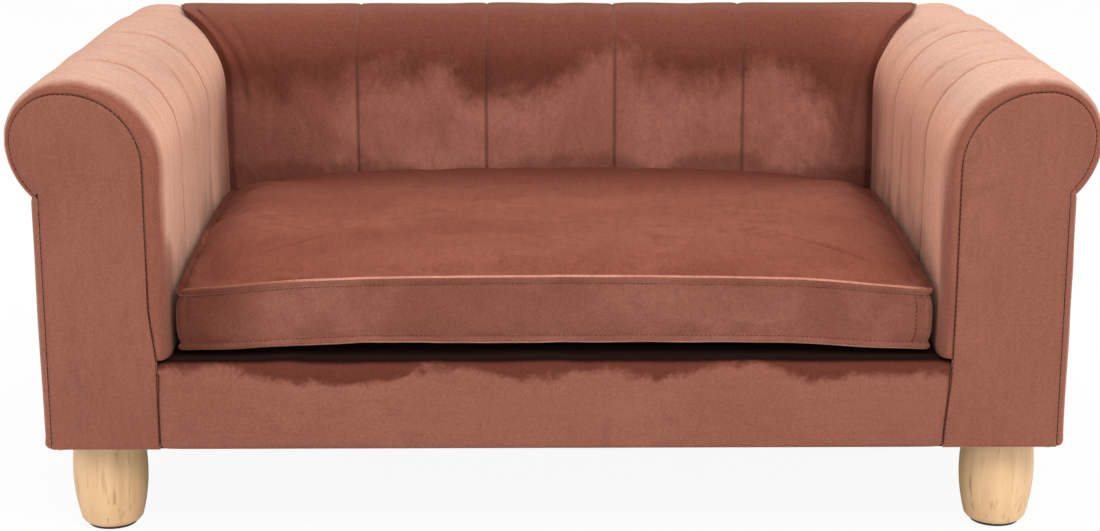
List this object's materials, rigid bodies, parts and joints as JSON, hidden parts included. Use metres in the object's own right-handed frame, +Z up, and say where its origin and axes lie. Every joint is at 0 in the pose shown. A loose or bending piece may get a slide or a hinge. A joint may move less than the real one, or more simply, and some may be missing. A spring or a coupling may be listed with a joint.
{
  "type": "dog sofa bed",
  "caption": "Small upholstered sofa bed for a dog with rolled arms, a channelled back, a loose box cushion and turned wooden legs.",
  "frame": {"origin": "on the floor under the middle of the sofa", "axes": "+X to the sofa's right as seen from the front, +Y to the back, +Z up; the front faces -Y"},
  "size_m": [0.7, 0.43, 0.3096],
  "materials": {
    "pine": "planed pine, unfinished",
    "plywood": "raw plywood and hardboard",
    "leg_wood": "turned light hardwood with a satin lacquer",
    "brown_card": "stiff brown upholstery card",
    "foam": "open upholstery foam",
    "velvet": "dusty terracotta pink velvet with a short crushed nap, stitched seams",
    "back_velvet": "the same velvet brushed against the nap, quilted in stitched channels",
    "cushion_velvet": "the same velvet on the loose cushion, with stitched flanges",
    "black_cloth": "black non-woven lining cloth",
    "zinc_steel": "bright zinc plate",
    "nylon": "black nylon"
  },
  "bodies": {
    "sofa": {"front_rail": "pine", "rear_rail": "pine", "left_side_rail": "pine", "right_side_rail": "pine", "seat_slats": "pine", "seat_deck": "plywood", "corner_blocks": "pine", "left_front_scroll_board": "plywood", "left_rear_scroll_board": "plywood", "right_front_scroll_board": "plywood", "right_rear_scroll_board": "plywood", "left_roll_batten": "pine", "right_roll_batten": "pine", "left_notch_batten": "pine", "right_notch_batten": "pine", "left_seat_batten": "pine", "right_seat_batten": "pine", "back_posts": "pine", "back_top_rail": "pine", "back_board": "plywood", "left_arm_wrap_card": "brown_card", "right_arm_wrap_card": "brown_card", "left_side_card": "brown_card", "right_side_card": "brown_card", "outside_back_card": "brown_card", "left_arm_foam": "foam", "right_arm_foam": "foam", "arm_front_pads": "foam", "back_foam": "foam", "back_top_foam": "foam", "base_front_foam": "foam", "left_arm_cover": "velvet", "right_arm_cover": "velvet", "left_front_panel": "velvet", "right_front_panel": "velvet", "left_rear_panel": "velvet", "right_rear_panel": "velvet", "left_side_cover": "velvet", "right_side_cover": "velvet", "back_cover": "back_velvet", "outside_back_cover": "velvet", "base_front_cover": "velvet", "deck_lining": "black_cloth", "dust_cover": "black_cloth", "front_left_leg": "leg_wood", "front_right_leg": "leg_wood", "rear_left_leg": "leg_wood", "rear_right_leg": "leg_wood", "hanger_bolts": "zinc_steel", "t_nuts": "zinc_steel", "leg_glides": "nylon"},
    "cushion": {"cushion_foam": "foam", "cushion_top_panel": "cushion_velvet", "cushion_boxing": "cushion_velvet", "cushion_bottom_panel": "cushion_velvet", "cushion_zip_tape": "black_cloth", "cushion_zip_coil": "nylon"},
    "zip_slider": {"cushion_zip_slider": "zinc_steel"}
  },
  "joints": [
    {"name": "cushion_lift", "type": "slide", "parent": "sofa", "child": "cushion", "axis": [0, 0, 1], "range_m": [0, 0.25]},
    {"name": "zip_slide", "type": "slide", "parent": "cushion", "child": "zip_slider", "axis": [1, 0, 0], "range_m": [0, 0.354]}
  ]
}
